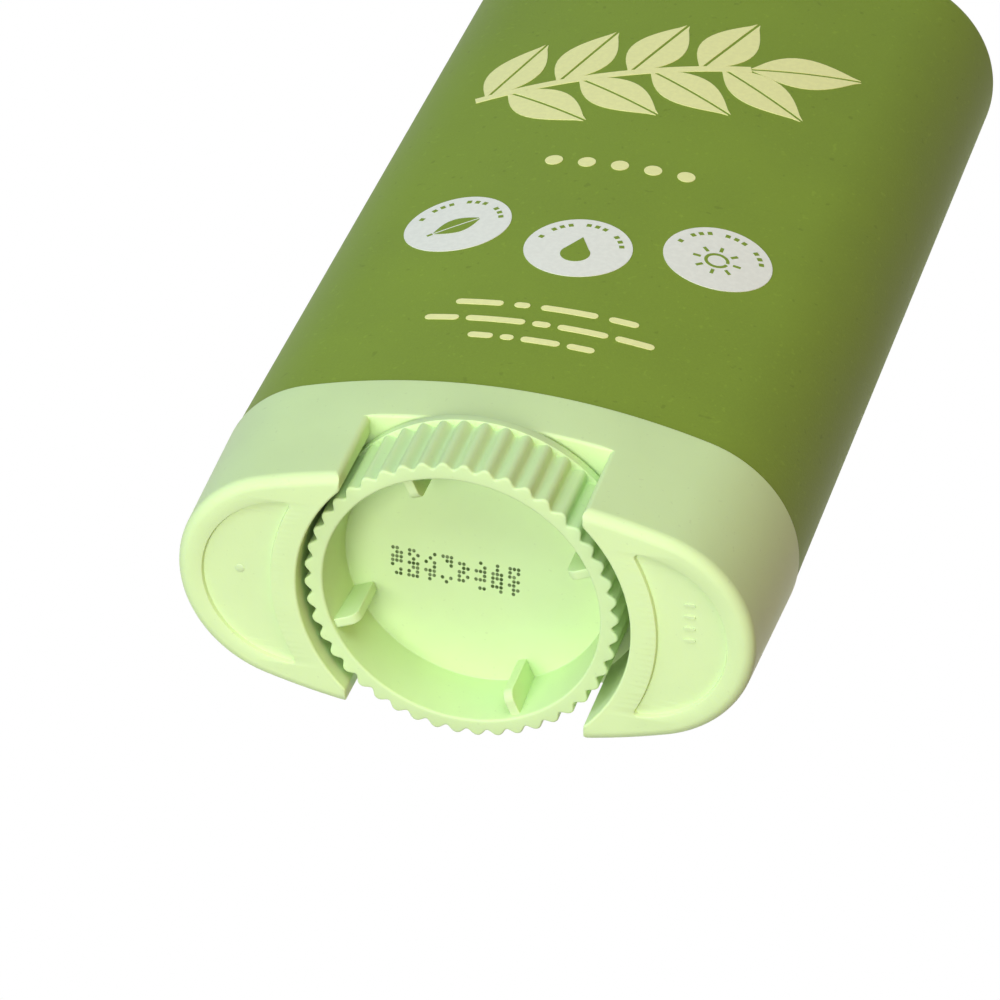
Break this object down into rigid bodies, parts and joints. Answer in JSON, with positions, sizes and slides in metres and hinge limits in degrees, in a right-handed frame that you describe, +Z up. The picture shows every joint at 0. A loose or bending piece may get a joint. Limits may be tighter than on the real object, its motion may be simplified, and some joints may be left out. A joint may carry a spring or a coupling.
{
  "type": "anti-chafing stick",
  "caption": "Oval twist-up stick pack: pale foot with a knurled dial in its window, balm on a screw-lifted platform, and a full-height pull-off cap.",
  "frame": {"origin": "centre of the foot's outline, on the surface that the pack stands on", "axes": "+Z up along the stick, +X across the width, -Y towards the printed front"},
  "size_m": [0.05, 0.0268, 0.0967],
  "materials": {
    "foot_plastic": "smooth satin, pale green polypropylene",
    "cap_plastic": "fine satin, olive green polypropylene",
    "platform_plastic": "satin, milky polypropylene",
    "balm": "waxy solid balm",
    "yellow_ink": "printed ink, pale yellow",
    "white_ink": "printed ink, off white"
  },
  "bodies": {
    "pack": {"foot_and_neck": "foot_plastic"},
    "dial": {"dial": "foot_plastic"},
    "lift": {"platform": "platform_plastic", "balm": "balm"},
    "cap": {"cap": "cap_plastic", "print_leaves": "yellow_ink", "print_discs": "white_ink", "print_bars": "yellow_ink"}
  },
  "joints": [
    {"name": "platform_slide", "type": "slide", "parent": "pack", "child": "lift", "axis": [0, 0, 1], "range_m": [0, 0.017]},
    {"name": "dial_spin", "type": "hinge", "parent": "pack", "child": "dial", "pos_m": [-0.00045, 0, 0.004], "axis": [0, 0, -1], "range_deg": [0, 1226]},
    {"name": "cap_lift", "type": "slide", "parent": "pack", "child": "cap", "axis": [0, 0, 1], "range_m": [0, 0.084]}
  ],
  "couplings": [
    {"joint": "dial_spin", "follows": "platform_slide", "rad_per_m": 1256.6}
  ]
}
